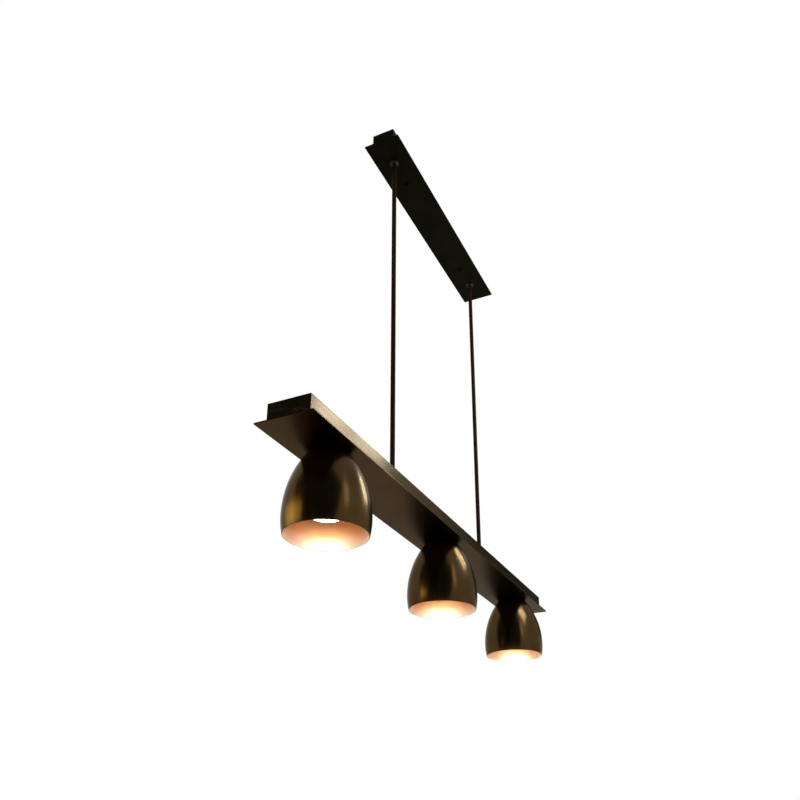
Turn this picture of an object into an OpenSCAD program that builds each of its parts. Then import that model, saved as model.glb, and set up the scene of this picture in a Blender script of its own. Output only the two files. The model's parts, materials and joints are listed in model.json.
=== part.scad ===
// Linear pendant light: bell shades on a shallow bar, hung on two rods from a long canopy.
// Millimetres. X runs along the bar, Y across it and Z up. The ceiling is the plane z = 0.

/* [Canopy] */
// Length of the canopy's cover plate
canopy_l = 500; // [492:1:700]
// Width of the canopy's cover plate
canopy_w = 67; // [50:0.5:120]
// Thickness of the canopy's cover plate
canopy_plate_t = 2; // [1.5:0.1:2.4]
// Length of the canopy's frame
canopy_frame_l = 485; // [450:1:498]
// Width of the canopy's frame
canopy_frame_w = 41; // [40:0.5:60]
// Height of the canopy's frame
canopy_frame_h = 27; // [27:0.5:45]
// Thickness of the canopy's frame
canopy_wall = 1.5; // [1:0.1:2]
// Width of the lip folded in at the foot of the frame's long sides
frame_lip_w = 6; // [2:0.5:7]

/* [Ceiling bracket] */
// Length of the strap that is screwed to the ceiling
bracket_l = 304; // [284:1:330]
// Width of the strap
bracket_w = 24; // [20:0.5:30]
// Thickness of the strap
bracket_t = 2; // [1.5:0.1:2.5]
// Distance between the centres of the two fixing slots
slot_spacing = 70; // [54:1:76]
// Length of a fixing slot, end to end
slot_l = 16; // [10:0.5:22]
// Width of a fixing slot
slot_w = 5.5; // [4.5:0.1:6.5]
// Diameter of the hole for the house wiring
wiring_hole_d = 14; // [8:0.5:18]
// Distance between the studs
stud_spacing = 276; // [250:1:292]
// Diameter of a stud
stud_d = 4; // [3:0.5:5]
// Diameter of a cap nut
cap_nut_d = 7; // [6.8:0.1:12]
// Height of a cap nut
cap_nut_h = 7; // [5:0.5:12]
// Thickness of a cap nut's closed end
cap_nut_end = 1.5; // [1:0.1:2.5]

/* [Swivels] */
// Diameter of a ball
ball_d = 14; // [13.6:0.1:14.6]
// Height of a ball's centre above the underside of the cover plate
ball_lift = 2.6; // [2.4:0.1:2.8]
// How far a seat's lip stands below the cover plate
lip_drop = 1.5; // [1.2:0.1:1.6]
// Outer diameter of a seat's lip
lip_d = 15.2; // [15:0.1:17]
// Outer diameter of a seat above its flange
seat_d = 18; // [17:0.1:20]
// Height of a seat above its flange
seat_h = 1.8; // [1.2:0.1:2.2]
// Diameter of a seat's flange
flange_d = 22; // [20:0.5:24]
// Thickness of a seat's flange
flange_t = 2; // [1.4:0.1:2.4]
// Outer diameter of the ring under the cover plate
ring_d = 17.6; // [17.4:0.1:24]
// Outer diameter of the cap over a ball
cap_d = 21.4; // [20.6:0.1:24]
// Thickness of the cap over a ball
cap_t = 1.6; // [1.2:0.1:2]

/* [Rods] */
// Distance between the rods
rod_spacing = 390; // [370:1:430]
// Outer diameter of a rod
rod_d = 8; // [7.4:0.1:8.4]
// Wall of a rod
rod_wall = 1; // [0.8:0.05:1.2]
// Distance from the underside of the canopy to the underside of the bar
drop = 693; // [300:1:2000]
// Outer diameter of the collar on the bar
collar_d = 14; // [11:0.5:20]
// Height of the collar on the bar
collar_h = 5; // [3:0.5:12]
// Width across flats of the lock nut inside the bar
lock_nut_af = 13; // [12:0.5:17]
// Height of the lock nut inside the bar
lock_nut_h = 4; // [3:0.1:4.6]
// How far a rod's end stands past its lock nut
rod_tail = 1.5; // [0.5:0.1:2]

/* [Bar] */
// Length of the bar's cover plate
bar_l = 1000; // [985:1:1400]
// Width of the bar's cover plate
bar_w = 88.5; // [68:0.5:140]
// Thickness of the bar's cover plate
bar_plate_t = 2; // [1.5:0.1:2.4]
// Length of the bar's housing
housing_l = 979; // [900:1:998]
// Width of the bar's housing
housing_w = 65; // [62:0.5:86]
// Height of the bar's housing
housing_h = 30; // [29.5:0.1:45]
// Thickness of the bar's housing
housing_wall = 1.5; // [1.4:0.1:2]
// Distance between the two tabs at an end
tab_spacing = 36; // [24:1:44]
// Width of a tab
tab_w = 14; // [8:0.5:16]
// Height of a tab
tab_h = 14; // [11:0.5:20]
// Length of a tab's foot
tab_foot = 11; // [6:0.5:16]
// Thickness of a tab
tab_t = 1.5; // [1:0.1:3]
// Height of an end screw above the cover plate
end_screw_rise = 8; // [6:0.1:9]

/* [Shades] */
// Distance between neighbouring shades
shade_spacing = 388; // [340:1:420]
// Widest diameter of a shade
shade_max_d = 120; // [114:0.5:140]
// Depth of the widest place below the bar
shade_max_depth = 94; // [88:0.5:97]
// Height of a shade
shade_h = 118; // [106:0.5:130]
// Wall of a shade
shade_wall = 1.2; // [0.8:0.1:2]
// Radius of the long curve above the widest place
shoulder_r = 154; // [142:1:200]
// Radius of the short curve below the widest place
skirt_r = 105; // [60:1:200]

/* [Lampholders] */
// Diameter of a holder's threaded skirt
skirt_d = 27.6; // [25:0.1:29]
// How far the skirt reaches below the bar
skirt_drop = 33; // [32:0.1:34]
// How far the skirt reaches above the cover plate
skirt_rise = 4; // [3.2:0.1:5]
// Diameter of a holder's head
head_d = 23; // [20:0.5:25]
// Height of a holder's head above its skirt
head_h = 9; // [7:0.5:14]
// How far the lead entry stands from a holder's axis
entry_reach = 16; // [15:0.5:18]
// Width of the lead entry
entry_w = 9; // [6:0.5:14]
// Height of the lead entry
entry_h = 5; // [4:0.1:5.6]
// Outer diameter of the ring inside a shade
shade_ring_d = 39; // [32:0.5:43]
// Height of the ring inside a shade
shade_ring_h = 8; // [5:0.5:14]
// Outer diameter of the ring inside the bar
holder_ring_d = 38; // [32:0.5:42]
// Height of the ring inside the bar
holder_ring_h = 3; // [2:0.1:3.2]
// Inner diameter of the brass screw shell
shell_bore = 14; // [13.96:0.02:14.2]
// Wall of the brass screw shell
shell_wall = 0.5; // [0.3:0.05:0.8]
// Length of the brass screw shell
shell_l = 22.5; // [18:0.5:23]
// Depth of a lamp's centre contact below the bar
contact_depth = 9.5; // [9.2:0.1:10]
// Thickness of the centre contact's spring
contact_t = 0.5; // [0.3:0.05:0.8]

/* [Lamps] */
// Length of a lamp from its centre contact to its face
lamp_l = 85; // [80:0.5:88]
// Diameter of a lamp's face
lamp_d = 50; // [44:0.5:63]
// Radius of a lamp's domed face
face_r = 60; // [40:1:100]
// Diameter of a lamp's screw cap
lamp_cap_d = 13.8; // [13.6:0.02:13.88]
// Length of a lamp's screw cap, contact included
lamp_cap_l = 25; // [24.6:0.1:28]
// Diameter of a lamp's neck
lamp_neck_d = 21; // [18:0.5:25]
// Wall of a lamp's glass
glass_t = 0.9; // [0.6:0.05:1.2]

/* [Wiring] */
// Diameter of the supply cable
cable_d = 4; // [3:0.1:4.2]
// Diameter of a lamp's lead
lead_d = 3.2; // [2.4:0.1:3.6]
// Diameter of an earth lead
earth_lead_d = 2; // [1.4:0.1:2.6]
// Radius at the middle of a bend in the supply cable
cable_bend = 16; // [12:0.5:16]
// Radius at the middle of a bend in a lamp's lead
lead_bend = 14; // [8:0.5:18]
// Length of a terminal block, along the wires
block_l = 20; // [16:0.5:24]
// Width of a terminal block, across the wires
block_w = 30; // [26:0.5:36]
// Height of a terminal block
block_h = 13; // [11.5:0.5:15]
// Distance between neighbouring poles
pole_pitch = 9; // [8:0.1:10]
// Diameter of a pole's wire bore
pole_bore = 3; // [2:0.1:3.4]
// Height of the wires in the canopy's block above its foot
mains_rise = 6.4; // [5.8:0.1:6.4]
// Height of the wires in the bar above the cover plate
wire_rise = 6; // [5.6:0.1:6.2]
// Distance of the canopy's block from the middle
mains_block_x = 80; // [78:1:92]
// Distance of the bar's block from the middle
bar_block_x = 110; // [90:1:130]
// Distance from a block's end to its earth screw
earth_reach = 18; // [16:0.5:19]

/* [Clearances] */
// Radial gap between a ball and its seat
ball_gap = 0.06; // [0.02:0.01:0.1]
// Radial gap in a thread or on a seated tube
thread_gap = 0.05; // [0.02:0.01:0.1]
// Radial gap round a screw or a stud in a plate
hole_gap = 0.2; // [0.05:0.05:0.4]
// Gap between a lamp's contact and the spring
contact_gap = 0.3; // [0.2:0.05:0.6]

/* [Hidden] */
$fn = 64;
lead_sides = 10;

// How far a cut runs past the face that it opens
over = 1;

// Heights of the faces that the pieces share
canopy_floor = -canopy_frame_h;
canopy_z = canopy_floor - canopy_plate_t;
ball_z = canopy_z + ball_lift;
bar_z = canopy_z - drop;
bar_floor = bar_z + bar_plate_t;
roof_z = bar_floor + housing_h;
roof_in = roof_z - housing_wall;
mains_z = -bracket_t - mains_rise;
wire_z = bar_floor + wire_rise;
tip_z = bar_z - contact_depth;

// Places along the bar
rod_x = rod_spacing / 2;
stud_x = stud_spacing / 2;
shade_x = [-shade_spacing, 0, shade_spacing];
mains_end = -mains_block_x - block_l / 2;
bar_block_near = -bar_block_x - block_l / 2;
bar_block_far = -bar_block_x + block_l / 2;

// Radii that mating pieces share
rod_r = rod_d / 2;
rod_bore = rod_r - rod_wall;
hollow_r = ball_d / 2 + ball_gap;
skirt_r_hole = skirt_d / 2 + hole_gap;
skirt_r_thread = skirt_d / 2 + thread_gap;
shell_r = shell_bore / 2 + shell_wall;

// A ball: where the rod's end stops below its centre, its flat top and the flare for the cable
rod_stop = 0.6;
ball_top = 5;
flare_r = 3.9;

// A swivel's faces, measured from the ball's centre
seat_floor = canopy_floor - ball_z;
lip_foot = canopy_z - lip_drop - ball_z;
flange_top = seat_floor + flange_t;
seat_rim = flange_top + seat_h;

// The rods run from the balls to just past the lock nuts
rod_top = ball_z - rod_stop;
rod_end = roof_in - lock_nut_h - rod_tail;

// The supply cable is split at the ball's centre, with room there for the swing
cable_split = 0.33;

// The cable steps aside to pass a stud, and a lead to pass the middle holder
stud_bypass = 7;
bypass_near = 10;
bypass_far = 24;
holder_bypass = 24;
holder_pass_near = 62;
holder_pass_far = 98;
lead_straight = 14;
lead_step = 24;

// Small machine screws and the clamp screws of the terminal blocks
screw_r = 1.5;
screw_head_r = 2.8;
screw_head_h = 1.3;
screw_bite = 1.2;
end_screw_l = 7;
earth_head_r = 3.2;
earth_head_h = 2.2;
earth_bend = 4;
earth_straight = 3;
earth_gap = 0.1;
clamp_screw_r = 1.6;
clamp_screw_set = 0.4;

// The bush in the near rod's end
bush_flange_r = 4.6;
bush_flange_t = 1.2;
bush_spigot_l = 6;

// The spring strip of a centre contact
contact_l = 9;
contact_w = 4;

// A lamp's screw cap: solder tip, glass insulator and shell
solder_r = 2.2;
solder_h = 1.2;
insulator_r = 5;
insulator_h = 2.8;
cap_wall = 0.4;

// A lamp's bulb: neck, then a bowl that is widest where the straight rim begins
bulb_l = lamp_l - lamp_cap_l;
bulb_neck_l = 9;
bowl_depth = 44;
bowl_side = (lamp_d - lamp_neck_d) / 2;
bowl_rise = bowl_depth - bulb_neck_l;
bowl_r = (bowl_rise * bowl_rise + bowl_side * bowl_side) / (2 * bowl_side);

// Straight steps that stand for the curves of a shade and a bulb, within 0.1 mm
shoulder_steps = 12;
skirt_steps = 3;
bowl_steps = 8;
face_steps = 4;

// Points of a round stretch about a centre, between two angles in n straight steps
function arc(centre, r, from, to, n, first = 0) =
    [for (i = [first : n])
        let (a = from + (to - from) * i / n)
            centre + r * [cos(a), sin(a)]];

// A list in reverse order
function backwards(list) = [for (i = [len(list) - 1 : -1 : 0]) list[i]];

// A vector of length one
function unit(v) = v / norm(v);

// Points and directions along a route whose corners are rounded to one bend radius
function rounded(p, i, r) = let (
        u = unit(p[i] - p[i - 1]),
        v = unit(p[i + 1] - p[i]),
        turn = acos(u * v),
        side = unit(v - u * (u * v)),
        n = max(3, ceil(turn / 12)),
        centre = p[i] - u * r * tan(turn / 2) + side * r)
    [for (j = [0 : n]) let (a = turn * j / n)
        [centre + r * (u * sin(a) - side * cos(a)), u * cos(a) + side * sin(a)]];
function route(p, r) = let (n = len(p) - 1) concat(
    [[p[0], unit(p[1] - p[0])]],
    [for (i = [1 : 1 : n - 1]) each rounded(p, i, r)],
    [[p[n], unit(p[n] - p[n - 1])]]);

// A round lead along a route that never runs along Y
module lead(p, d, r) {
    path = route(p, r);
    n = len(path);
    s = lead_sides;
    rings = [for (k = path)
        let (a = unit(cross([0, 1, 0], k[1])), b = cross(k[1], a))
        for (j = [0 : s - 1])
            k[0] + d / 2 * (a * cos(360 * j / s) + b * sin(360 * j / s))];
    walls = [for (i = [0 : n - 2])
        for (j = [0 : s - 1])
            let (m = (j + 1) % s)
            each [[i * s + j, (i + 1) * s + j, i * s + m],
                [i * s + m, (i + 1) * s + j, (i + 1) * s + m]]];
    start = [for (j = [1 : s - 2]) [0, j, j + 1]];
    end = [for (j = [1 : s - 2]) [(n - 1) * s, (n - 1) * s + j + 1, (n - 1) * s + j]];
    polyhedron(points = rings, faces = concat(walls, start, end));
}

// A box centred in X and Y, standing on the height z
module block(l, w, h, z) {
    translate([-l / 2, -w / 2, z])
        cube([l, w, h]);
}

// A round bore upwards from the height z, open at both ends of a sheet of thickness t
module sheet_hole(x, r, t, z) {
    translate([x, 0, z - over])
        cylinder(r = r, h = t + 2 * over);
}

// A tube standing on the height z
module tube(outer_r, bore_r, h, z) {
    translate([0, 0, z])
        difference() {
            cylinder(r = outer_r, h = h);
            translate([0, 0, -over])
                cylinder(r = bore_r, h = h + 2 * over);
        }
}

// Its children at both ends of the bar
module both_ends() {
    children();
    mirror([1, 0, 0])
        children();
}

// Its children where the canopy's block hangs from the bracket, and where the bar's stands
module at_mains_block() {
    translate([-mains_block_x, 0, -bracket_t])
        mirror([0, 0, 1])
            children();
}

module at_bar_block() {
    translate([-bar_block_x, 0, bar_floor])
        children();
}

module fixing_slot(x) {
    half = (slot_l - slot_w) / 2;
    sheet_hole(x - half, slot_w / 2, bracket_t, -bracket_t);
    sheet_hole(x + half, slot_w / 2, bracket_t, -bracket_t);
    translate([x, 0, 0])
        block(2 * half, slot_w, bracket_t + 2 * over, -bracket_t - over);
}

// Threaded bites for a block's fixing screw and its earth screw, down from z = 0
module block_bites() {
    for (x = [0, block_l / 2 + earth_reach])
        translate([x, 0, -screw_bite])
            cylinder(r = screw_r + thread_gap, h = screw_bite + over);
}

module ceiling_bracket() {
    color("silver")
        difference() {
            block(bracket_l, bracket_w, bracket_t, -bracket_t);
            fixing_slot(-slot_spacing / 2);
            fixing_slot(slot_spacing / 2);
            sheet_hole(0, wiring_hole_d / 2, bracket_t, -bracket_t);
            at_mains_block()
                block_bites();
        }
}

module bracket_studs() {
    stud_end = canopy_z - cap_nut_h + cap_nut_end + hole_gap;
    color("gainsboro")
        for (x = [-stud_x, stud_x])
            translate([x, 0, stud_end])
                cylinder(d = stud_d, h = -bracket_t - stud_end);
}

module canopy_frame() {
    inner_l = canopy_frame_l - 2 * canopy_wall;
    inner_w = canopy_frame_w - 2 * canopy_wall;
    color("#2a241e")
        difference() {
            block(canopy_frame_l, canopy_frame_w, canopy_frame_h, canopy_floor);
            block(inner_l, inner_w, canopy_frame_h, canopy_floor + canopy_wall);
            block(inner_l, inner_w - 2 * frame_lip_w, canopy_frame_h, canopy_floor - over);
        }
}

module canopy_plate() {
    color("#241f1a")
        difference() {
            block(canopy_l, canopy_w, canopy_plate_t, canopy_z);
            for (side = [-1, 1]) {
                sheet_hole(side * rod_x, lip_d / 2 + thread_gap, canopy_plate_t, canopy_z);
                sheet_hole(side * stud_x, stud_d / 2 + hole_gap, canopy_plate_t, canopy_z);
            }
        }
}

module cap_nuts() {
    color("#1d1916")
        for (x = [-stud_x, stud_x])
            translate([x, 0, canopy_z - cap_nut_h])
                difference() {
                    cylinder(d = cap_nut_d, h = cap_nut_h);
                    translate([0, 0, cap_nut_end])
                        cylinder(r = stud_d / 2 + thread_gap, h = cap_nut_h);
                }
}

// Seat of a ball: a flange on the cover plate and a lip down through it, open at the top
module swivel_seat(x) {
    color("#3a332b")
        translate([x, 0, ball_z])
            rotate_extrude()
                difference() {
                    union() {
                        translate([0, lip_foot])
                            square([lip_d / 2, seat_rim - lip_foot]);
                        translate([0, seat_floor])
                            square([seat_d / 2, seat_rim - seat_floor]);
                        translate([0, seat_floor])
                            square([flange_d / 2, flange_t]);
                    }
                    circle(r = hollow_r);
                    square([hollow_r, ball_d]);
                }
}

module swivel_ring(x) {
    color("#4a4036")
        translate([x, 0, 0])
            tube(ring_d / 2, lip_d / 2 + thread_gap, lip_drop, canopy_z - lip_drop);
}

// Screwed cap over a ball, with a round hollow for it
module swivel_cap(x) {
    color("#3a332b")
        translate([x, 0, ball_z])
            rotate_extrude()
                difference() {
                    translate([0, flange_top])
                        square([cap_d / 2, seat_h + cap_t]);
                    translate([0, flange_top - over])
                        square([seat_d / 2 + thread_gap, seat_h + over]);
                    circle(r = hollow_r);
                }
}

module swivel_ball(x) {
    color("#b9a98c")
        translate([x, 0, ball_z])
            difference() {
                sphere(d = ball_d);
                translate([0, 0, -ball_d])
                    cylinder(r = rod_r + thread_gap, h = ball_d - rod_stop);
                translate([0, 0, -rod_stop])
                    cylinder(r1 = rod_bore, r2 = flare_r, h = ball_top + rod_stop);
                block(2 * ball_d, 2 * ball_d, ball_d, ball_top);
            }
}

module rod(x) {
    color("#2c241c")
        translate([x, 0, 0])
            tube(rod_r, rod_bore, rod_top - rod_end, rod_end);
}

module rod_collars() {
    color("#332b23")
        for (x = [-rod_x, rod_x])
            translate([x, 0, 0])
                tube(collar_d / 2, rod_r + thread_gap, collar_h, roof_z);
}

module rod_lock_nuts() {
    color("silver")
        for (x = [-rod_x, rod_x])
            translate([x, 0, roof_in - lock_nut_h])
                difference() {
                    cylinder(d = lock_nut_af / cos(30), h = lock_nut_h, $fn = 6);
                    translate([0, 0, -over])
                        cylinder(r = rod_r + thread_gap, h = lock_nut_h + 2 * over);
                }
}

// Countersunk screw along Z from its head's face, grown sideways by a gap
module countersunk(gap) {
    cylinder(r1 = screw_head_r + gap, r2 = screw_r + gap, h = screw_head_h);
    cylinder(r = screw_r + gap, h = end_screw_l);
}

// Its children at the four end screws, with Z pointing into the bar
module at_end_screws() {
    both_ends()
        for (y = [-tab_spacing / 2, tab_spacing / 2])
            translate([housing_l / 2, y, bar_floor + end_screw_rise])
                rotate([0, -90, 0])
                    children();
}

module bar_housing() {
    color("#5a4632")
        difference() {
            block(housing_l, housing_w, housing_h, bar_floor);
            block(housing_l - 2 * housing_wall, housing_w - 2 * housing_wall,
                housing_h - housing_wall + over, bar_floor - over);
            sheet_hole(-rod_x, rod_r + hole_gap, housing_wall, roof_in);
            sheet_hole(rod_x, rod_r + hole_gap, housing_wall, roof_in);
            at_end_screws()
                countersunk(thread_gap);
        }
}

module bar_plate() {
    color("#33291f")
        difference() {
            block(bar_l, bar_w, bar_plate_t, bar_z);
            for (x = shade_x)
                sheet_hole(x, skirt_r_hole, bar_plate_t, bar_z);
            at_bar_block()
                block_bites();
        }
}

// Tabs welded on the cover plate, standing against the housing's ends
module plate_tabs() {
    inner = housing_l / 2 - housing_wall;
    color("silver")
        difference() {
            both_ends()
                for (y = [-tab_spacing / 2, tab_spacing / 2])
                    translate([inner - tab_foot, y - tab_w / 2, bar_floor])
                        difference() {
                            cube([tab_foot, tab_w, tab_h]);
                            translate([-over, -over, tab_t])
                                cube([tab_foot + over - tab_t, tab_w + 2 * over, tab_h]);
                        }
            at_end_screws()
                cylinder(r = screw_r + thread_gap, h = end_screw_l);
        }
}

module end_screws() {
    color("#2a241e")
        at_end_screws()
            countersunk(0);
}

// Terminal block standing on z = 0, with its wires along X at the height rise
module terminal_block(rise) {
    color("ivory")
        difference() {
            block(block_l, block_w, block_h, 0);
            for (y = [-pole_pitch, 0, pole_pitch]) {
                translate([-block_l / 2 - over, y, rise])
                    rotate([0, 90, 0])
                        cylinder(d = pole_bore, h = block_l + 2 * over);
                for (x = [-block_l / 4, block_l / 4])
                    translate([x, y, rise])
                        cylinder(r = clamp_screw_r + hole_gap, h = block_h);
            }
            sheet_hole(0, screw_r + hole_gap, block_h, 0);
            translate([0, 0, block_h - 2 * screw_head_h])
                cylinder(r = screw_head_r + hole_gap, h = block_h);
        }
}

// A block's clamp screws, and the screw that fixes it to the sheet below
module block_screws(rise) {
    foot = rise + pole_bore / 2;
    color("#c8a24a")
        for (y = [-pole_pitch, 0, pole_pitch])
            for (x = [-block_l / 4, block_l / 4])
                translate([x, y, foot])
                    cylinder(r = clamp_screw_r, h = block_h - clamp_screw_set - foot);
    color("silver") {
        translate([0, 0, -screw_bite])
            cylinder(r = screw_r, h = screw_bite + block_h - 2 * screw_head_h);
        translate([0, 0, block_h - 2 * screw_head_h])
            cylinder(r = screw_head_r, h = screw_head_h);
    }
}

module earth_screw() {
    color("#c8a24a")
        translate([block_l / 2 + earth_reach, 0, 0]) {
            cylinder(r = earth_head_r, h = earth_head_h);
            translate([0, 0, -screw_bite])
                cylinder(r = screw_r, h = screw_bite);
        }
}

// From a block's middle pole down to the side of its earth screw's head
module earth_lead(rise) {
    from_x = block_l / 2;
    to_x = from_x + earth_reach - earth_head_r - earth_gap;
    low = earth_lead_d / 2 + earth_gap;
    color("#7d9a3c")
        lead([[from_x, 0, rise],
            [from_x + earth_straight, 0, rise],
            [to_x - earth_straight, 0, low],
            [to_x, 0, low]], earth_lead_d, earth_bend);
}

module canopy_cable() {
    color("white")
        lead([[-rod_x, 0, ball_z + cable_split],
            [-rod_x, 0, mains_z],
            [-stud_x - bypass_far, 0, mains_z],
            [-stud_x - bypass_near, stud_bypass, mains_z],
            [-stud_x + bypass_near, stud_bypass, mains_z],
            [-stud_x + bypass_far, 0, mains_z],
            [mains_end, 0, mains_z]], cable_d, cable_bend);
}

module rod_cable() {
    color("white")
        lead([[-rod_x, 0, ball_z - cable_split],
            [-rod_x, 0, wire_z],
            [bar_block_near, 0, wire_z]], cable_d, cable_bend);
}

module cable_bush() {
    color("#20201f")
        translate([-rod_x, 0, 0]) {
            tube(bush_flange_r, cable_d / 2 + hole_gap, bush_flange_t, rod_end - bush_flange_t);
            tube(rod_bore - thread_gap, cable_d / 2 + hole_gap,
                bush_flange_t + bush_spigot_l, rod_end - bush_flange_t);
        }
}

// Leads from the bar's block to the entries of the near, middle and far holder
module lamp_lead_near() {
    end = shade_x[0] + entry_reach;
    color("#d8cdb4")
        lead([[bar_block_near, -pole_pitch, wire_z],
            [end + lead_straight + lead_step, -pole_pitch, wire_z],
            [end + lead_straight, 0, wire_z],
            [end, 0, wire_z]], lead_d, lead_bend);
}

module lamp_lead_middle() {
    color("#d8cdb4")
        lead([[bar_block_far, pole_pitch, wire_z],
            [bar_block_far + lead_straight, pole_pitch, wire_z],
            [bar_block_far + lead_straight + lead_step, 0, wire_z],
            [-entry_reach, 0, wire_z]], lead_d, lead_bend);
}

module lamp_lead_far() {
    color("#d8cdb4")
        lead([[bar_block_far, -pole_pitch, wire_z],
            [bar_block_far + lead_straight, -pole_pitch, wire_z],
            [bar_block_far + lead_straight + lead_step, -holder_bypass, wire_z],
            [holder_pass_near, -holder_bypass, wire_z],
            [holder_pass_far, 0, wire_z],
            [shade_x[2] - entry_reach, 0, wire_z]], lead_d, lead_bend);
}

// A shade's outline from its roof to its mouth, drawn in from its outside by inset
function shade_curve(inset) = let (
        widest = [shade_max_d / 2, -shade_max_depth],
        roof = asin((shade_max_depth - inset) / (shoulder_r - inset)),
        mouth = asin((shade_h - shade_max_depth) / (skirt_r - inset)))
    concat(
        arc(widest - [shoulder_r, 0], shoulder_r - inset, roof, 0, shoulder_steps),
        arc(widest - [skirt_r, 0], skirt_r - inset, 0, -mouth, skirt_steps, first = 1));

module shade(i) {
    color("#54402a")
        translate([shade_x[i], 0, bar_z])
            rotate_extrude()
                polygon(concat(
                    [[skirt_r_hole, 0]],
                    shade_curve(0),
                    backwards(shade_curve(shade_wall)),
                    [[skirt_r_hole, -shade_wall]]));
}

// Lampholder: skirt through the cover plate, head above it, lead entry towards -X or +X
module lampholder(i, side) {
    roof = tip_z + contact_gap + contact_t;
    skirt_foot = bar_z - skirt_drop;
    skirt_top = bar_floor + skirt_rise;
    color("#262423")
        translate([shade_x[i], 0, 0])
            difference() {
                union() {
                    translate([0, 0, skirt_foot])
                        cylinder(d = skirt_d, h = skirt_top - skirt_foot);
                    translate([0, 0, skirt_top])
                        cylinder(d = head_d, h = head_h);
                    translate([side * entry_reach / 2, 0, 0])
                        block(entry_reach, entry_w, entry_h, wire_z - entry_h / 2);
                }
                translate([0, 0, skirt_foot - over])
                    cylinder(r = shell_r + thread_gap, h = roof - skirt_foot + over);
            }
}

module holder_ring(i) {
    color("#262423")
        translate([shade_x[i], 0, 0])
            tube(holder_ring_d / 2, skirt_r_thread, holder_ring_h, bar_floor);
}

module shade_ring(i) {
    color("#262423")
        translate([shade_x[i], 0, 0])
            tube(shade_ring_d / 2, skirt_r_thread, shade_ring_h, bar_z - shade_wall - shade_ring_h);
}

module screw_shell(i) {
    color("#c8a24a")
        translate([shade_x[i], 0, 0])
            tube(shell_r, shell_bore / 2, shell_l, tip_z - shell_l);
}

module centre_contacts() {
    color("#c8a24a")
        for (x = shade_x)
            translate([x, 0, 0])
                block(contact_l, contact_w, contact_t, tip_z + contact_gap);
}

// Screw cap of a lamp: solder tip, insulator and a thin shell closed at the top
module lamp_cap(i) {
    shoulder = -solder_h - insulator_h;
    color("#b8b2a2")
        translate([shade_x[i], 0, tip_z])
            rotate_extrude() {
                translate([0, -solder_h])
                    square([solder_r, solder_h]);
                translate([0, shoulder])
                    square([insulator_r, insulator_h]);
                difference() {
                    translate([0, -lamp_cap_l])
                        square([lamp_cap_d / 2, lamp_cap_l + shoulder]);
                    translate([0, -lamp_cap_l - over])
                        square([lamp_cap_d / 2 - cap_wall, lamp_cap_l + shoulder - cap_wall + over]);
                }
            }
}

// A bulb's outline from below its cap to the middle of its face, drawn in by inset
function bulb_curve(inset) = let (
        bowl_x = lamp_d / 2 - bowl_r,
        neck_r = lamp_neck_d / 2 - inset,
        neck = acos((neck_r - bowl_x) / (bowl_r - inset)),
        rim = acos((lamp_d / 2 - inset) / (face_r - inset)))
    concat(
        [[neck_r, -inset]],
        arc([bowl_x, -bowl_depth], bowl_r - inset, neck, 0, bowl_steps),
        arc([0, face_r - bulb_l], face_r - inset, -rim, -90, face_steps));

module lamp_bulb(i) {
    inlet_r = lamp_cap_d / 2 - 2 * cap_wall;
    color("#f5efe0")
        translate([shade_x[i], 0, tip_z - lamp_cap_l])
            rotate_extrude()
                polygon(concat(
                    [[inlet_r, 0]],
                    bulb_curve(0),
                    backwards(bulb_curve(glass_t)),
                    [[inlet_r, -glass_t]]));
}

ceiling_bracket();
bracket_studs();
canopy_frame();
canopy_plate();
cap_nuts();
swivel_seat(-rod_x);  // swivel_seat_near
swivel_seat(rod_x);  // swivel_seat_far
swivel_ring(-rod_x);  // swivel_ring_near
swivel_ring(rod_x);  // swivel_ring_far
swivel_cap(-rod_x);  // swivel_cap_near
swivel_cap(rod_x);  // swivel_cap_far
at_mains_block() terminal_block(mains_rise);  // mains_block
at_mains_block() block_screws(mains_rise);  // mains_block_screws
canopy_cable();
at_mains_block() earth_screw();  // canopy_earth_screw
at_mains_block() earth_lead(mains_rise);  // canopy_earth_lead
swivel_ball(-rod_x);  // swivel_ball_near
swivel_ball(rod_x);  // swivel_ball_far
rod(-rod_x);  // rod_near
rod(rod_x);  // rod_far
rod_collars();
rod_lock_nuts();
bar_housing();
bar_plate();
plate_tabs();
end_screws();
rod_cable();
cable_bush();
at_bar_block() terminal_block(wire_rise);  // bar_block
at_bar_block() block_screws(wire_rise);  // bar_block_screws
at_bar_block() earth_screw();  // bar_earth_screw
at_bar_block() earth_lead(wire_rise);  // bar_earth_lead
lamp_lead_near();  // lamp_lead_1
lamp_lead_middle();  // lamp_lead_2
lamp_lead_far();  // lamp_lead_3
shade(0);  // shade_1
shade(1);  // shade_2
shade(2);  // shade_3
lampholder(0, 1);  // lampholder_1
lampholder(1, -1);  // lampholder_2
lampholder(2, -1);  // lampholder_3
holder_ring(0);  // holder_ring_1
holder_ring(1);  // holder_ring_2
holder_ring(2);  // holder_ring_3
shade_ring(0);  // shade_ring_1
shade_ring(1);  // shade_ring_2
shade_ring(2);  // shade_ring_3
screw_shell(0);  // screw_shell_1
screw_shell(1);  // screw_shell_2
screw_shell(2);  // screw_shell_3
centre_contacts();
lamp_cap(0);  // lamp_cap_1
lamp_cap(1);  // lamp_cap_2
lamp_cap(2);  // lamp_cap_3
lamp_bulb(0);  // lamp_bulb_1
lamp_bulb(1);  // lamp_bulb_2
lamp_bulb(2);  // lamp_bulb_3
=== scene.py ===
"""Looks for a linear pendant light: bronze bells with copper insides, lit, under a brushed bar."""

import json
import math

import bmesh
import bpy
from mathutils import Euler, Matrix, Vector

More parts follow.
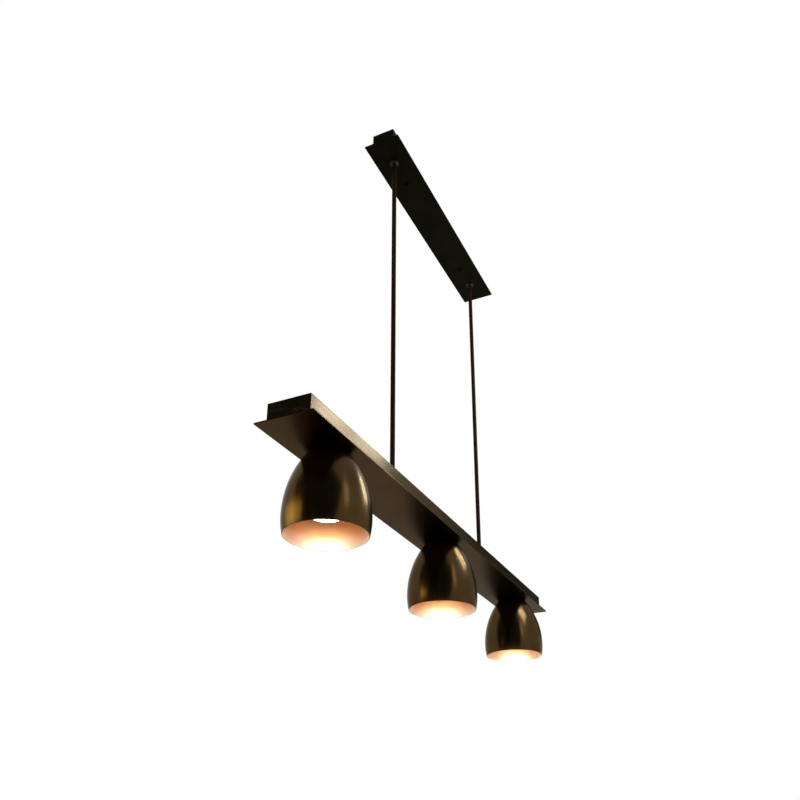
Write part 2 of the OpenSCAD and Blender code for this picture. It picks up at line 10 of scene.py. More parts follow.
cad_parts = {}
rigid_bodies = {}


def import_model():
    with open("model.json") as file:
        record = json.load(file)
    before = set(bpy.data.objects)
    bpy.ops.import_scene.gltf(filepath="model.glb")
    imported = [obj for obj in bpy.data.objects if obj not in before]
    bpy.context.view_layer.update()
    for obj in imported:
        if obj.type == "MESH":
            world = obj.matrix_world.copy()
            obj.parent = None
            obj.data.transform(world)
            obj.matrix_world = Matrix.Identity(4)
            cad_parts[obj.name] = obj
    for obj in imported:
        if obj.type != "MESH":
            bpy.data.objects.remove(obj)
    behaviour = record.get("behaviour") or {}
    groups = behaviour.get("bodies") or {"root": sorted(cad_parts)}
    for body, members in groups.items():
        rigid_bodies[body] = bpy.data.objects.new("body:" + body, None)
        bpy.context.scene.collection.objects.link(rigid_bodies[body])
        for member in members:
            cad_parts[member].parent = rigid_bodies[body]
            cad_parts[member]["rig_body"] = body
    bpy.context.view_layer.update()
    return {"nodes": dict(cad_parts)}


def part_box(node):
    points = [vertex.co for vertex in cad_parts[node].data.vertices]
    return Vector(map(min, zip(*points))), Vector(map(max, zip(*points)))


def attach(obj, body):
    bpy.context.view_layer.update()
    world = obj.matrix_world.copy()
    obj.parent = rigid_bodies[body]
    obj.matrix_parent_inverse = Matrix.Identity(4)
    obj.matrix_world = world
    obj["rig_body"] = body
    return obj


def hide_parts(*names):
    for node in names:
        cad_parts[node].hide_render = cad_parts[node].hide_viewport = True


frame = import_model()

MM = 0.001
EDGE_GLOSS = "#C5C4C0"  # a dark plating's gloss at a grazing angle, which isn't a full mirror's
BELL_GLOSS = "#D4D1CB"  # the same for the more polished bells
ENDLESS = 1e6  # length in mm of a mark that runs on without end

# Places of the bells from the frame, in metres
SHADE_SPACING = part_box("shade_2")[0].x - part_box("shade_1")[0].x
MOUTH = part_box("shade_1")[0].z

# Sizes that the CAD boxes don't give, in mm. Bells:
SHADE_WALL = 1.2
SHADE_WIDEST = 94  # below the top
SHADE_HOLE_R = 14
SHOULDER_R = 154  # of the wall's arc above its widest place
SKIRT_R = 105  # and of the arc below it
NECK_EASE = 1.6
LIP_EASE = 0.3
WALL_STEPS = 44
# Height of the painted highlight: a pale colour painted into the copper above the lip, for the lamp's
# glare
PAINTED_GLARE_HEIGHT = 24  # height of the pale stretch above the lip

# Lampholders and the rings that clamp the bells
SHELL_BORE_R = 7.55
HEAD_R = 11.5
HEAD_H = 9
SKIRT_PITCH = 2.5
SKIRT_THREAD = 0.3
SKIRT_STEPS = 6  # points to a turn of thread
ENTRY_START = 2  # from the holder's middle
ENTRY_W = 9
ENTRY_H = 5
ENTRY_EASE = 0.5
RING_GAP = 0.05
RING_EASE = 0.8
GRIPS = 28
GRIP_DEPTH = 0.8
GRIP_END = 0.6  # below the flange
FLANGE_H = 2

# Lamps
CAP_PITCH = 2.82
CAP_THREAD = 0.2
CAP_STEPS = 8  # points to a turn of thread
CAP_WALL = 0.4
CAP_SHOULDER = 4
INSULATOR_R = 5
SOLDER_R = 2.2
SOLDER_H = 1.2
BULB_NECK_R = 10.5
BULB_NECK_L = 9
BOWL_DEPTH = 44
FACE_R = 60
RIM_EASE = 4

# Cap nuts and end screws
STUD_R = 2.05
NUT_END = 1.5
NUT_DOME = 2.4
CROSS_SLOT = 0.35
CROSS_ARM = 1.5
CROSS_DEPTH = 0.8


# Materials

def linear(colour):
    """An sRGB hex colour as linear red, green, blue and alpha."""
    parts = [int(colour[i:i + 2], 16) / 255 for i in (1, 3, 5)]
    return [c / 12.92 if c <= 0.04045 else ((c + 0.055) / 1.055) ** 2.4 for c in parts] + [1]


def add(tree, kind, inputs, **settings):
    """Adds a node. inputs holds values, or the outputs that feed its sockets."""
    node = tree.nodes.new("ShaderNode" + kind)
    for name, value in settings.items():
        setattr(node, name, value)
    for socket, value in inputs.items():
        if isinstance(value, bpy.types.NodeSocket):
            tree.links.new(value, node.inputs[socket])
        else:
            node.inputs[socket].default_value = value
    return node


def plain(name, colour, **sockets):
    """A material whose Principled shader has this colour and these constants."""
    material = bpy.data.materials.new(name)
    material.use_nodes = True
    shader = material.node_tree.nodes["Principled BSDF"]
    shader.inputs["Base Color"].default_value = linear(colour)
    for socket, value in sockets.items():
        shader.inputs[socket.replace("_", " ")].default_value = value
    return material


def brushed(material, stretch, axis, rotation):
    """Stretches a surface's gloss round an axis, or along it where rotation is a quarter."""
    shader = material.node_tree.nodes["Principled BSDF"]
    around = add(material.node_tree, "Tangent", {}, direction_type="RADIAL", axis=axis)
    material.node_tree.links.new(around.outputs[0], shader.inputs["Tangent"])
    shader.inputs["Anisotropic"].default_value = stretch
    shader.inputs["Anisotropic Rotation"].default_value = rotation
    return material


def around_shade(tree, place, radius):
    """Places that change round the nearest shade, at a radius in mm, and stay the same down its wall."""
    reach = SHADE_SPACING / 2
    beside = add(tree, "VectorMath", {0: place, 1: [reach] * 3, 2: [-reach] * 3}, operation="WRAP")
    level = add(tree, "VectorMath", {0: beside.outputs[0], 1: (1, 1, 0)}, operation="MULTIPLY")
    outward = add(tree, "VectorMath", {0: level.outputs[0]}, operation="NORMALIZE")
    far = {0: outward.outputs[0], "Scale": radius * MM}
    return add(tree, "VectorMath", far, operation="SCALE").outputs[0]


def worked(material, marks, roughness, depth, tone, patches, radius=0):
    """Gives a surface the marks of the tool that made it. marks is their size in mm along X, Y and Z
    and depth their height in mm. tone is a second colour, in patches of a size in mm. With a radius,
    the marks run straight down a shade."""
    tree = material.node_tree
    shader = tree.nodes["Principled BSDF"]
    place = add(tree, "TexCoord", {}).outputs["Object"]
    strokes = around_shade(tree, place, radius) if radius else place
    lines = add(tree, "Mapping", {"Vector": strokes, "Scale": [1 / (size * MM) for size in marks]})
    grain = add(tree, "TexNoise", {"Vector": lines.outputs[0], "Scale": 1.0, "Detail": 3.0})
    rough = add(tree, "MapRange", {
        "Value": grain.outputs[0], "From Min": 0.3, "From Max": 0.7,
        "To Min": roughness[0], "To Max": roughness[1]})
    bump = add(tree, "Bump", {"Height": grain.outputs[0], "Distance": depth * MM})
    cloud = add(tree, "TexNoise", {"Vector": place, "Scale": 1 / (patches * MM), "Detail": 4.0})
    share = add(tree, "MapRange", {"Value": cloud.outputs[0], "From Min": 0.35, "From Max": 0.7})
    mix = add(tree, "MixRGB", {
        "Fac": share.outputs[0], "Color1": shader.inputs["Base Color"].default_value[:],
        "Color2": linear(tone)})
    tree.links.new(mix.outputs[0], shader.inputs["Base Color"])
    tree.links.new(rough.outputs[0], shader.inputs["Roughness"])
    tree.links.new(bump.outputs[0], shader.inputs["Normal"])
    return material


# Brushed and turned metal has marks of a tenth of a millimetre. They wouldn't show from where the photo
# is taken, so they are drawn about 1 to 2 mm wide.

# Steel sheet in a satin black lacquer with a bronze cast
canopy_black = worked(
    plain("satin_black_lacquer", "#171509", Specular_IOR_Level=0.01),
    marks=(60, 1.2, 1.2), roughness=(0.34, 0.42), depth=0.004, tone="#100F07", patches=45)

# Steel sheet plated in dark bronze, brushed along the bar and lacquered: soft mirror images
bar_bronze = worked(
    plain("dark_bronze_lacquer", "#443320", Metallic=0.98, Specular_Tint=linear(EDGE_GLOSS)),
    marks=(70, 1.2, 1.2), roughness=(0.26, 0.34), depth=0.005, tone="#3E2E1C", patches=60)

# The same plating on the folded housing, brushed more strongly: a wide champagne sheen
housing_bronze = brushed(worked(
    plain("brushed_bronze_plating", "#473B2B", Metallic=1.0, Specular_Tint=linear(EDGE_GLOSS)),
    marks=(90, 1.6, 1.0), roughness=(0.2, 0.28), depth=0.006, tone="#3D3325", patches=70), 0.8, "X", 0)

# Drawn tube in a satin lacquer of a warm, very dark brown
rod_brown = worked(
    plain("dark_brown_satin_lacquer", "#271B0E", Specular_IOR_Level=0.01),
    marks=(1, 1, 60), roughness=(0.42, 0.5), depth=0.0, tone="#2C1F12", patches=30)

# Spun steel plated in antique bronze: its gloss runs in tall streaks, split by fine polishing strokes
bell_bronze = brushed(worked(
    plain("spun_antique_bronze", "#45341D", Metallic=1.0, Specular_Tint=linear(BELL_GLOSS)),
    marks=(2.6, 2.6, 2.6), roughness=(0.18, 0.28), depth=0.012, tone="#3B2C18", patches=40, radius=60),
    0.5, "Z", 0.25)

# The inside of the bells, copper plated and satin: it throws the lamp's light back orange
bell_copper = brushed(worked(
    plain("spun_satin_copper", "#E2AA78", Metallic=0.8),
    marks=(ENDLESS, ENDLESS, 0.9), roughness=(0.42, 0.5), depth=0.003, tone="#DEA471", patches=35),
    0.4, "Z", 0.25)

# Painted highlight: a pale colour is painted into the copper for a stretch above the lip and fades into
# the copper higher up. It stands in for the lamp's strong light, which washes the orange out there.
inside = bell_copper.node_tree
colour = inside.nodes["Principled BSDF"].inputs["Base Color"]
height = add(inside, "SeparateXYZ", {0: add(inside, "TexCoord", {}).outputs["Object"]}).outputs["Z"]
painted_glare_fade = add(inside, "MapRange", {"Value": height, "From Min": MOUTH, "From Max": MOUTH + PAINTED_GLARE_HEIGHT * MM})
copper = add(inside, "MixRGB", {
    "Fac": painted_glare_fade.outputs[0], "Color1": linear("#F8E4CC"), "Color2": colour.links[0].from_socket})
inside.links.new(copper.outputs[0], colour)

# Turned brass, plated black and rubbed back, on the parts of the swivels
swivel_brass = worked(
    plain("turned_dark_brass", "#16140E", Specular_IOR_Level=0.15),
    marks=(ENDLESS, ENDLESS, 0.5), roughness=(0.15, 0.22), depth=0.003, tone="#12110C", patches=12)

# Zinc-plated pressed steel, with a faint bluish cast
zinc = worked(
    plain("zinc_plated_steel", "#B9BDC0", Metallic=1.0),
    marks=(8, 3, 3), roughness=(0.3, 0.42), depth=0.01, tone="#A7AAAB", patches=6)

# Bright stamped and turned brass
brass = worked(
    plain("bright_brass", "#D9B35B", Metallic=1.0),
    marks=(2, 2, 1), roughness=(0.2, 0.3), depth=0.004, tone="#C7A04B", patches=8)

# Moulded polyamide of the terminal blocks, slightly translucent in life
polyamide = worked(
    plain("ivory_polyamide", "#E6E1D0", Subsurface_Weight=0.1, Subsurface_Scale=0.002),
    marks=(0.8, 0.8, 0.8), roughness=(0.35, 0.45), depth=0.01, tone="#DDD7C3", patches=10)

# Moulded phenolic of the lampholders and their rings: hard, black, with a low gloss
phenolic = worked(
    plain("black_phenolic", "#1B1A19", IOR=1.6),
    marks=(1, 1, 1), roughness=(0.28, 0.38), depth=0.012, tone="#242220", patches=10)

# Rubber of the bush in the rod's end
rubber = worked(
    plain("black_rubber", "#1A1A1A"),
    marks=(0.5, 0.5, 0.5), roughness=(0.6, 0.75), depth=0.02, tone="#202020", patches=5)

# Soft vinyl sheath of the supply cable
sheath = worked(
    plain("white_vinyl_sheath", "#E9E8E3"),
    marks=(3, 3, 3), roughness=(0.4, 0.5), depth=0.01, tone="#E0DED7", patches=15)

# Silicone-coated glass fibre sleeve of the lamp leads, woven at about 1 mm
sleeve = worked(
    plain("glass_fibre_sleeve", "#D9CFB8", Sheen_Weight=0.2),
    marks=(1, 0.6, 0.6), roughness=(0.55, 0.7), depth=0.06, tone="#CDC2A9", patches=12)

# Vinyl of the earth leads, green with a yellow stripe
earth = worked(
    plain("green_yellow_vinyl", "#4F8A34"),
    marks=(2, 2, 2), roughness=(0.4, 0.5), depth=0.01, tone="#D8C53A", patches=2.5)

# Nickel-plated brass cap of a lamp, its solder tip and its glass insulator
nickel = worked(
    plain("nickel_plating", "#C9C2B4", Metallic=1.0),
    marks=(2, 2, 0.6), roughness=(0.18, 0.3), depth=0.004, tone="#BDB5A6", patches=6)
solder = worked(
    plain("tin_solder", "#B4B4B2", Metallic=1.0),
    marks=(1, 1, 1), roughness=(0.35, 0.5), depth=0.04, tone="#A2A2A0", patches=2)
cap_glass = worked(
    plain("black_glass_insulator", "#141518", IOR=1.55),
    marks=(2, 2, 2), roughness=(0.08, 0.15), depth=0.01, tone="#1B1C20", patches=4)

# The lamp's bowl, glass silvered on its inside
silvered_glass = worked(
    plain("silvered_glass", "#D8D6D2", Metallic=1.0, Coat_Weight=1.0, Coat_Roughness=0.03),
    marks=(6, 6, 6), roughness=(0.08, 0.14), depth=0.01, tone="#CFCBC4", patches=14)

# The lamp's face, frosted glass lit evenly from behind: white to the eye, it lights the bell's inside
lit_glass = worked(
    plain("frosted_glass_lit", "#FFF4E4", Emission_Color=linear("#FFF8EE"), Emission_Strength=16.5),
    marks=(1, 1, 1), roughness=(0.45, 0.55), depth=0.01, tone="#FFEFD8", patches=9)


# Shaping

def spun(profile, x, steps, closed=False):
    """A bmesh of a profile of (radius, height) in mm, spun about the upright line through x."""
    shape = bmesh.new()
    points = [shape.verts.new((x + r * MM, 0, z * MM)) for r, z in profile]
    pairs = list(zip(points, points[1:]))
    if closed:
        pairs.append((points[-1], points[0]))
    edges = [shape.edges.new(pair) for pair in pairs]
    bmesh.ops.spin(shape, geom=points + edges, cent=(x, 0, 0), axis=(0, 0, 1),
                   angle=math.tau, steps=steps, use_merge=True)
    bmesh.ops.remove_doubles(shape, verts=shape.verts, dist=0.01 * MM)
    bmesh.ops.recalc_face_normals(shape, faces=shape.faces)
    return shape


def arc(centre, radius, start, end, count):
    """Points of a round stretch, with its angles in degrees from the radial direction."""
    turns = [math.radians(start + (end - start) * i / count) for i in range(count + 1)]
    return [(centre[0] + radius * math.cos(a), centre[1] + radius * math.sin(a)) for a in turns]


def pushed(shape, x, radius, reach, change):
    """Moves the points within reach mm of a radius about x in or out, by change(angle, height) in mm."""
    for point in shape.verts:
        away = Vector((point.co.x - x, point.co.y))
        if abs(away.length / MM - radius) < reach:
            angle = math.atan2(away.y, away.x)
            away *= 1 + change(angle, point.co.z / MM) / radius
            point.co.x, point.co.y = x + away.x, away.y


def eased(shape, edges, width, segments=2):
    """Rounds these edges by width in mm."""
    bmesh.ops.bevel(shape, geom=edges, offset=width * MM, offset_type="OFFSET", segments=segments,
                    profile=0.5, affect="EDGES", clamp_overlap=True, material=-1)


def hard_edges(shape):
    """The edges at which a solid turns by more than 40 degrees."""
    return [edge for edge in shape.edges
            if len(edge.link_faces) == 2 and edge.calc_face_angle() > math.radians(40)]


def cad_copy(node):
    """A bmesh of a CAD node's mesh, its loose triangles merged into whole faces."""
    shape = bmesh.new()
    shape.from_mesh(frame["nodes"][node].data)
    bmesh.ops.remove_doubles(shape, verts=shape.verts, dist=0.001 * MM)
    bmesh.ops.dissolve_limit(shape, angle_limit=math.radians(0.5), verts=shape.verts,
                             edges=shape.edges)
    return shape


def piece(shape, node, *finishes, smooth=35):
    """Shows a bmesh in place of a CAD node, on its body and with its material slot. Edges that turn
    by less than smooth degrees are shaded as one surface."""
    mesh = bpy.data.meshes.new(node + "_finished")
    shape.to_mesh(mesh)
    shape.free()
    for material in finishes:
        mesh.materials.append(material)
    mesh.shade_smooth()
    mesh.set_sharp_from_angle(angle=math.radians(smooth))
    shown = bpy.data.objects.new(node + "_finished", mesh)
    bpy.context.scene.collection.objects.link(shown)
    flats = shown.modifiers.new("flats_stay_flat", "WEIGHTED_NORMAL")
    flats.keep_sharp = True
    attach(shown, frame["nodes"][node]["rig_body"])
    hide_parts(node)
    return shown


def heights(node):
    """A node's middle along X in metres, and its lowest and highest points in mm."""
    low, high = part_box(node)
    return (low.x + high.x) / 2, low.z / MM, high.z / MM


def outer_radius(node):
    """A turned node's outer radius in mm, from its width along Y."""
    low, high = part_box(node)
    return (high.y - low.y) / 2 / MM


def threaded(radius, foot, top, pitch, steps):
    """The upright wall of a thread, with so many points to each of its turns."""
    count = round((top - foot) / pitch * steps)
    return [(radius, foot + (top - foot) * i / count) for i in range(count + 1)]


# Pieces that keep their CAD form, with eased edges: node, material, easing in mm
KEPT = [
    ("ceiling_bracket", zinc, 0.3), ("bracket_studs", zinc, 0), ("canopy_frame", canopy_black, 0.5),
    ("canopy_plate", canopy_black, 0.4), ("swivel_seat_near", swivel_brass, 0),
    ("swivel_seat_far", swivel_brass, 0), ("swivel_cap_near", swivel_brass, 0.3),
    ("swivel_cap_far", swivel_brass, 0.3), ("swivel_ring_near", swivel_brass, 0.3),
    ("swivel_ring_far", swivel_brass, 0.3), ("swivel_ball_near", swivel_brass, 0),
    ("swivel_ball_far", swivel_brass, 0), ("mains_block", polyamide, 0),
    ("mains_block_screws", brass, 0), ("canopy_cable", sheath, 0), ("canopy_earth_screw", brass, 0.3),
    ("canopy_earth_lead", earth, 0), ("rod_near", rod_brown, 0), ("rod_far", rod_brown, 0),
    ("rod_collars", rod_brown, 0.6), ("rod_lock_nuts", zinc, 0.3), ("bar_housing", housing_bronze, 0.5),
    ("bar_plate", bar_bronze, 0.4), ("plate_tabs", zinc, 0), ("rod_cable", sheath, 0),
    ("cable_bush", rubber, 0.2), ("bar_block", polyamide, 0), ("bar_block_screws", brass, 0),
    ("bar_earth_screw", brass, 0.3), ("bar_earth_lead", earth, 0), ("lamp_lead_1", sleeve, 0),
    ("lamp_lead_2", sleeve, 0), ("lamp_lead_3", sleeve, 0), ("holder_ring_1", phenolic, 0.4),
    ("holder_ring_2", phenolic, 0.4), ("holder_ring_3", phenolic, 0.4), ("screw_shell_1", brass, 0),
    ("screw_shell_2", brass, 0), ("screw_shell_3", brass, 0), ("centre_contacts", brass, 0)]

for node, material, easing in KEPT:
    shape = cad_copy(node)
    if easing:
        eased(shape, hard_edges(shape), easing)
    piece(shape, node, material, smooth=50)


def bell(light):
    """A shade: one spun wall, bronze outside and copper inside, with a turned lip."""
    x, mouth, top = heights("shade_" + light)
    widest = outer_radius("shade_" + light)

    def radius(depth, inset):
        r = SHOULDER_R if depth < SHADE_WIDEST else SKIRT_R
        return widest - r + math.sqrt((r - inset) ** 2 - (SHADE_WIDEST - depth) ** 2)

    depths = [(top - mouth) * i / WALL_STEPS for i in range(WALL_STEPS + 1)]
    outside = [(radius(d, 0), top - d) for d in depths]
    inside = [(radius(d, SHADE_WALL), top - d) for d in depths if d > SHADE_WALL]
    inside.insert(0, (radius(SHADE_WALL, SHADE_WALL), top - SHADE_WALL))
    shape = spun([(SHADE_HOLE_R, top)] + outside + inside[::-1] + [(SHADE_HOLE_R, top - SHADE_WALL)],
                 x, steps=96, closed=True)

    def sharp_at(level):
        return [edge for edge in shape.edges if edge.calc_face_angle(0) > 0.6
                and all(abs(vert.co.z / MM - level) < 0.01 for vert in edge.verts)]

    neck = [edge for edge in sharp_at(top)
            if math.hypot(edge.verts[0].co.x - x, edge.verts[0].co.y) / MM > SHADE_HOLE_R + 1]
    eased(shape, neck, NECK_EASE, segments=4)
    eased(shape, sharp_at(mouth), LIP_EASE, segments=3)
    shape.normal_update()
    for face in shape.faces:
        middle = face.calc_center_median()
        away = Vector((middle.x - x, middle.y, 0)).normalized()
        inward = face.normal.dot(away) < -0.2
        roof = face.normal.z < -0.5 and middle.z / MM > top - 2 * SHADE_WALL
        face.material_index = 1 if inward or roof else 0
    piece(shape, "shade_" + light, bell_bronze, bell_copper, smooth=50)


def lampholder(light):
    """A moulded holder: a head, a skirt with a coarse outer thread, and the box of its lead entry."""
    node = "lampholder_" + light
    x = heights("shade_" + light)[0]
    foot, top = heights(node)[1:]
    skirt_r = outer_radius(node)
    skirt_top = top - HEAD_H
    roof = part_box("centre_contacts")[1].z / MM
    skirt = threaded(skirt_r, foot, skirt_top, SKIRT_PITCH, SKIRT_STEPS)
    shape = spun([(0, roof), (SHELL_BORE_R, roof), (SHELL_BORE_R, foot)] + skirt
                 + [(HEAD_R, skirt_top), (HEAD_R, top), (0, top)], x, steps=64)
    pushed(shape, x, skirt_r, 0.01,
           lambda angle, z: -SKIRT_THREAD * (1 + math.cos(math.tau * z / SKIRT_PITCH - angle)))
    low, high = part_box(node)
    side = 1 if high.x - x > x - low.x else -1
    reach = (high.x - x if side > 0 else x - low.x) / MM
    lead_low, lead_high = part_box("lamp_lead_" + light)
    size = Vector((reach - ENTRY_START, ENTRY_W, ENTRY_H)) * MM
    middle = side * (reach + ENTRY_START) / 2 * MM
    centre = Vector((x + middle, 0, (lead_low.z + lead_high.z) / 2))
    entry = bmesh.ops.create_cube(shape, size=1, matrix=Matrix.LocRotScale(centre, None, size))
    eased(shape, list({edge for vert in entry["verts"] for edge in vert.link_edges}), ENTRY_EASE)
    piece(shape, node, phenolic)


def shade_ring(light):
    """The ring that clamps a shade: a flange with grips below it."""
    node = "shade_ring_" + light
    x, foot, top = heights(node)
    outer = outer_radius(node)
    bore = outer_radius("lampholder_" + light) + RING_GAP
    grip_top = top - FLANGE_H - GRIP_END
    shape = spun([(bore, foot), (outer - RING_EASE, foot), (outer, foot + RING_EASE),
                  (outer, grip_top), (outer, top - FLANGE_H), (outer, top), (bore, top)],
                 x, steps=GRIPS * 6, closed=True)
    pushed(shape, x, outer, 1,
           lambda angle, z: -GRIP_DEPTH * max(0, math.cos(GRIPS * angle)) if z < grip_top + 0.1 else 0)
    piece(shape, node, phenolic)


def lamp_cap(light):
    """A lamp's screw cap: rolled thread, glass insulator and solder tip."""
    node = "lamp_cap_" + light
    x, foot, tip = heights(node)
    outer = outer_radius(node)
    shoulder = tip - CAP_SHOULDER
    wall = threaded(outer, foot, shoulder, CAP_PITCH, CAP_STEPS)
    lining_r = outer - CAP_WALL - 2 * CAP_THREAD
    lining = [(lining_r, z) for r, z in wall]
    shape = spun([(0, shoulder - CAP_WALL), (lining_r, shoulder - CAP_WALL)]
                 + lining[-3::-1] + wall + [(INSULATOR_R + 0.6, shoulder), (INSULATOR_R, shoulder + 0.2),
                 (SOLDER_R + 0.8, tip - SOLDER_H), (SOLDER_R, tip - SOLDER_H),
                 (SOLDER_R, tip - 0.5), (SOLDER_R - 0.6, tip - 0.1), (0, tip)], x, steps=64)
    pushed(shape, x, outer, 0.01,
           lambda angle, z: -CAP_THREAD * (1 + math.cos(math.tau * z / CAP_PITCH - angle))
           if z < shoulder - 2 else 0)
    for face in shape.faces:
        height = face.calc_center_median().z / MM
        if height > tip - SOLDER_H - 0.02:
            face.material_index = 2
        elif height > shoulder + 0.05:
            face.material_index = 1
    piece(shape, node, nickel, cap_glass, solder)


def lamp_bulb(light):
    """A reflector lamp: a silvered bowl closed by a frosted, lit face with a rounded rim."""
    node = "lamp_bulb_" + light
    x, tip, top = heights(node)
    widest = outer_radius(node)
    rise = BOWL_DEPTH - BULB_NECK_L
    side = widest - BULB_NECK_R
    bowl_r = (rise ** 2 + side ** 2) / (2 * side)
    bowl_centre = (widest - bowl_r, top - BOWL_DEPTH)
    neck_angle = math.degrees(math.asin(rise / bowl_r))
    bowl = arc(bowl_centre, bowl_r, neck_angle, 0, 20)
    ease_centre_r = widest - RIM_EASE
    face_centre = tip + FACE_R
    drop = math.sqrt((FACE_R - RIM_EASE) ** 2 - ease_centre_r ** 2)
    ease_centre = (ease_centre_r, face_centre - drop)
    turn = math.degrees(math.atan2(drop, ease_centre_r))
    rim = arc(ease_centre, RIM_EASE, 0, -turn, 8)
    face = arc((0, face_centre), FACE_R, -turn, -90, 16)
    shape = spun([(BULB_NECK_R - 4, top), (BULB_NECK_R - 0.5, top), (BULB_NECK_R, top - 0.8),
                  (BULB_NECK_R, top - BULB_NECK_L)] + bowl[1:] + rim + face[1:-1] + [(0, tip)],
                 x, steps=96)
    for part in shape.faces:
        part.material_index = 1 if part.calc_center_median().z / MM < ease_centre[1] - 1.5 else 0
    hole = [edge for edge in shape.edges if edge.is_boundary]
    bmesh.ops.contextual_create(shape, geom=hole)
    bmesh.ops.recalc_face_normals(shape, faces=shape.faces)
    piece(shape, node, silvered_glass, lit_glass, smooth=60)


def cap_nuts():
    """Two slim nuts with domed ends, on the canopy's studs."""
    low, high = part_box("cap_nuts")
    foot, top = low.z / MM, high.z / MM
    radius = outer_radius("cap_nuts")
    dome_r = (radius ** 2 + NUT_DOME ** 2) / (2 * NUT_DOME)
    edge = math.degrees(math.acos(radius / dome_r))
    dome = arc((0, foot + dome_r), dome_r, -90, -edge, 8)
    both = bmesh.new()
    for x in (low.x + radius * MM, high.x - radius * MM):
        nut = spun([(0, foot)] + dome[1:] + [(radius, top), (STUD_R, top),
                   (STUD_R, foot + NUT_END), (0, foot + NUT_END)], x, steps=48)
        mesh = bpy.data.meshes.new("nut")
        nut.to_mesh(mesh)
        nut.free()
        both.from_mesh(mesh)
        bpy.data.meshes.remove(mesh)
    piece(both, "cap_nuts", canopy_black)


def end_screws():
    """The screws in the housing's ends, with a cross recess pressed into each head."""
    shape = cad_copy("end_screws")
    low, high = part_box("end_screws")
    level = (low.z + high.z) / 2
    beside = high.y - (high.z - low.z) / 2

    def heads():
        return [face for face in shape.faces if abs(face.normal.x) > 0.9
                and all(abs(abs(vert.co.x) - high.x) < 0.01 * MM for vert in face.verts)]

    cuts = [(Vector((0, 0, level)), Vector((0, 0, 1)))]
    cuts += [(Vector((0, y, 0)), Vector((0, 1, 0))) for y in (-beside, beside)]
    for middle, across in cuts:
        for away in (-CROSS_ARM, -CROSS_SLOT, CROSS_SLOT, CROSS_ARM):
            faces = heads()
            rims = {edge for face in faces for edge in face.edges}
            points = {vert for face in faces for vert in face.verts}
            bmesh.ops.bisect_plane(shape, geom=faces + list(rims) + list(points), dist=0.001 * MM,
                                   plane_co=middle + across * away * MM, plane_no=across)
    for side in (-1, 1):
        cross = []
        for face in heads():
            middle = face.calc_center_median()
            arms = sorted((abs(abs(middle.y) - beside) / MM, abs(middle.z - level) / MM))
            if middle.x * side > 0 and arms[0] < CROSS_SLOT and arms[1] < CROSS_ARM:
                cross.append(face)
        sunk = bmesh.ops.extrude_face_region(shape, geom=cross)["geom"]
        bmesh.ops.translate(shape, vec=(-side * CROSS_DEPTH * MM, 0, 0),
                            verts=[part for part in sunk if isinstance(part, bmesh.types.BMVert)])
        bmesh.ops.delete(shape, geom=cross, context="FACES")
    bmesh.ops.recalc_face_normals(shape, faces=shape.faces)
    piece(shape, "end_screws", canopy_black)


for light in ("1", "2", "3"):
    bell(light)
    lampholder(light)
    shade_ring(light)
    lamp_cap(light)
    lamp_bulb(light)
cap_nuts()
end_screws()


# Studio, in metres

def from_bar(azimuth, elevation, distance):
    """A place that is seen from the bar at an azimuth and elevation in degrees."""
    turn = Euler((0, -math.radians(elevation), math.radians(azimuth))).to_matrix()
    return BAR + turn @ Vector((1, 0, 0)) * distance


def softbox(name, azimuth, elevation, distance, size, power, colour, spread=180, facing=None):
    """A rectangular lamp of so many watts, which faces the bar or a point."""
    lamp = bpy.data.lights.new(name, "AREA")
    lamp.shape = "RECTANGLE"
    lamp.size, lamp.size_y = size
    lamp.energy = power
    lamp.spread = math.radians(spread)
    lamp.color = linear(colour)[:3]
    shown = bpy.data.objects.new(name, lamp)
    shown.location = from_bar(azimuth, elevation, distance)
    back = shown.location - (facing or BAR)
    shown.rotation_euler = back.to_track_quat("Z", "Y").to_euler()
    shown.visible_camera = False
    bpy.context.scene.collection.objects.link(shown)
    return shown


def card(name, azimuth, elevation, distance, size):
    """A grey card that only reflections see, facing the bar like a softbox."""
    sheet = bmesh.new()
    bmesh.ops.create_grid(sheet, x_segments=1, y_segments=1, size=0.5)
    mesh = bpy.data.meshes.new(name)
    sheet.to_mesh(mesh)
    sheet.free()
    mesh.materials.append(grey_card)
    shown = bpy.data.objects.new(name, mesh)
    shown.location = from_bar(azimuth, elevation, distance)
    shown.rotation_euler = (shown.location - BAR).to_track_quat("Z", "Y").to_euler()
    shown.scale = (size[0], size[1], 1)
    bpy.context.scene.collection.objects.link(shown)
    shown.visible_camera = False
    shown.visible_diffuse = False
    shown.visible_shadow = False
    shown.visible_transmission = False
    return shown


BAR = Vector((0, 0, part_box("bar_plate")[0].z))

# Camera, fitted to the photograph's vanishing lines in an image of 800 by 800
IMAGE_PX = 800
FOCAL_PX = 810.9
LEVEL_PX = 522.4
EYE = Vector((-1.2297, -0.51026, -0.49254))  # from the bar
YAW = 25.641  # from the bar's length
PITCH = 21.885
ROLL = 0.159
camera = bpy.data.cameras.new("camera")
camera.lens = FOCAL_PX / IMAGE_PX * camera.sensor_width
camera.shift_y = (LEVEL_PX - IMAGE_PX / 2) / IMAGE_PX
camera.clip_start = 0.01
camera.clip_end = 50
eye = bpy.data.objects.new("camera", camera)
aim = Euler((math.radians(90 + PITCH), 0, math.radians(YAW - 90))).to_matrix()
roll = Matrix.Rotation(math.radians(ROLL), 3, "Z")
eye.matrix_world = Matrix.LocRotScale(BAR + EYE, (aim @ roll).to_quaternion(), None)
bpy.context.scene.collection.objects.link(eye)
bpy.context.scene.camera = eye

def seen_rays(tree):
    """One where the camera sees a surface, also in metal or through glass, and nought elsewhere."""
    rays = add(tree, "LightPath", {}).outputs
    seen = add(tree, "Math", {0: rays["Is Camera Ray"], 1: rays["Is Glossy Ray"]}, operation="MAXIMUM")
    glass = {0: seen.outputs[0], 1: rays["Is Transmission Ray"]}
    return add(tree, "Math", glass, operation="MAXIMUM").outputs[0]


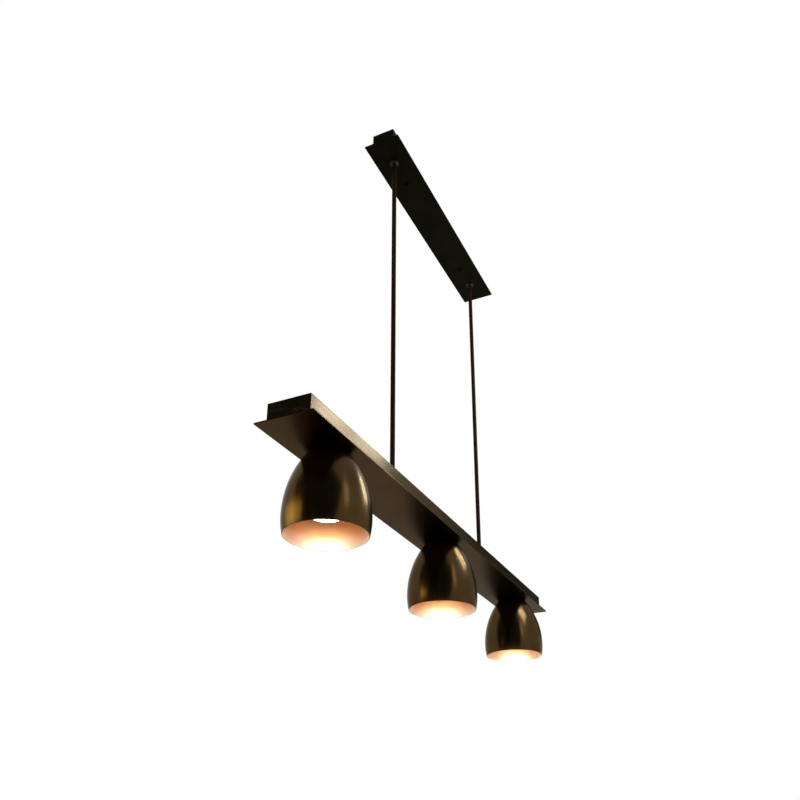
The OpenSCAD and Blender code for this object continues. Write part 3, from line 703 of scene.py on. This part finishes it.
# Floor: pale, matt and plain, a room's height below the ceiling, lifted to near white where it is seen
FLOOR_Z = -2.4
FLOOR_REACH = 12
FLOOR_LIFT = 0.55
pale_floor = plain("pale_floor", "#E4E2DE", Roughness=0.9, Specular_IOR_Level=0.2,
                   Emission_Color=linear("#FFFFFF"))
tree = pale_floor.node_tree
glow = add(tree, "Math", {0: seen_rays(tree), 1: FLOOR_LIFT}, operation="MULTIPLY")
tree.links.new(glow.outputs[0], tree.nodes["Principled BSDF"].inputs["Emission Strength"])
ground = bmesh.new()
bmesh.ops.create_grid(ground, x_segments=1, y_segments=1, size=FLOOR_REACH)
floor_mesh = bpy.data.meshes.new("floor")
ground.to_mesh(floor_mesh)
ground.free()
floor_mesh.materials.append(pale_floor)
floor = bpy.data.objects.new("floor", floor_mesh)
floor.location.z = FLOOR_Z
bpy.context.scene.collection.objects.link(floor)

# White to the camera and in reflections, and a softer light on everything else
world = bpy.data.worlds.new("studio")
bpy.context.scene.world = world
world.use_nodes = True
sky = world.node_tree
sky.nodes.clear()
white = add(sky, "Background", {"Color": linear("#FFFFFF"), "Strength": 1.0})
soft = add(sky, "Background", {"Color": linear("#FBF8F3"), "Strength": 0.5})
mix = add(sky, "MixShader", {0: seen_rays(sky), 1: soft.outputs[0], 2: white.outputs[0]})
add(sky, "OutputWorld", {"Surface": mix.outputs[0]})

# The key lamps give the housing its sheen and the bells their bright streaks, the side lamps a fainter
# streak on the near bell, and the left lamp its warm glow. The cards darken what the bells reflect.
NEAR_SHADE = Vector((heights("shade_1")[0], 0, MOUTH))
grey_card = plain("grey_card", "#6E7A76", Roughness=1.0, Specular_IOR_Level=0.0)
softbox("key_near", -63.0, 42.8, 0.69, (0.07, 0.28), 2.4, "#DCE8FF")
softbox("key_far", -48.5, 42.8, 0.69, (0.07, 0.28), 2.4, "#DCE8FF")
softbox("side_near", -116.5, 27.9, 1.71, (0.09, 0.7), 1.0, "#F2F0EE")
softbox("side_far", -111.0, 27.9, 1.71, (0.09, 0.7), 1.0, "#F2F0EE")
softbox("left", 151.4, -1.7, 0.661, (0.44, 0.16), 0.22, "#FFF0A4", spread=75, facing=NEAR_SHADE)
card("left_card", 180, 25, 2.6, (6.6, 4.0))
card("right_card", 2, 20, 3.0, (2.6, 0.9))

bpy.context.scene.view_settings.view_transform = "Standard"
